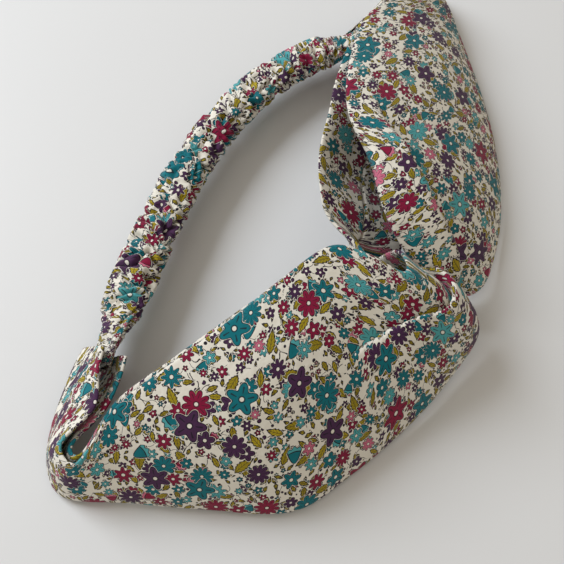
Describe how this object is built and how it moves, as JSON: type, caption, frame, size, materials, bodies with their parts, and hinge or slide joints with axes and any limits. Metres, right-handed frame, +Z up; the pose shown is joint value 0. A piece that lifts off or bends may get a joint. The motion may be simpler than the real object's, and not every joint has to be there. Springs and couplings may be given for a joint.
{
  "type": "knotted headband",
  "caption": "Fabric headband: two folded bands hooked through each other in a front knot, joined at the back by a ruched casing over flat elastic.",
  "frame": {"origin": "centre of the bounding box on the surface the headband rests on", "axes": "+Z up from the resting surface, +Y from the left corner towards the right corner, +X from the elastic back towards the knot"},
  "size_m": [0.1688, 0.2408, 0.0464],
  "materials": {
    "print_cloth": "cotton lawn with a dense small floral print on cream",
    "thread": "cream polyester sewing thread",
    "elastic": "white flat braided elastic"
  },
  "bodies": {
    "left_half": {"strip_left": "print_cloth", "strip_left_seam": "thread", "left_end_seam": "thread"},
    "right_half": {"strip_right": "print_cloth", "strip_right_seam": "thread", "right_end_seam": "thread"},
    "back": {"elastic_casing": "print_cloth", "casing_seam": "thread", "elastic_band": "elastic", "left_elastic_tack": "thread", "right_elastic_tack": "thread"}
  },
  "joints": [
    {"name": "knot_flex", "type": "hinge", "parent": "left_half", "child": "right_half", "pos_m": [0.0344, -0.0491, 0.0253], "axis": [0, 0, -1], "range_deg": [-15, 40], "stiffness_Nm_per_rad": 0.2, "deforming": ["strip_left", "strip_right", "strip_left_seam", "strip_right_seam"]},
    {"name": "left_seam_flex", "type": "hinge", "parent": "left_half", "child": "back", "pos_m": [-0.0651, -0.0677, 0.0128], "axis": [0, 0, -1], "range_deg": [-9, 24], "deforming": ["elastic_casing", "elastic_band", "casing_seam", "left_end_seam", "right_end_seam", "left_elastic_tack", "right_elastic_tack"]}
  ],
  "couplings": [
    {"joint": "left_seam_flex", "follows": "knot_flex", "ratio": 0.58}
  ]
}
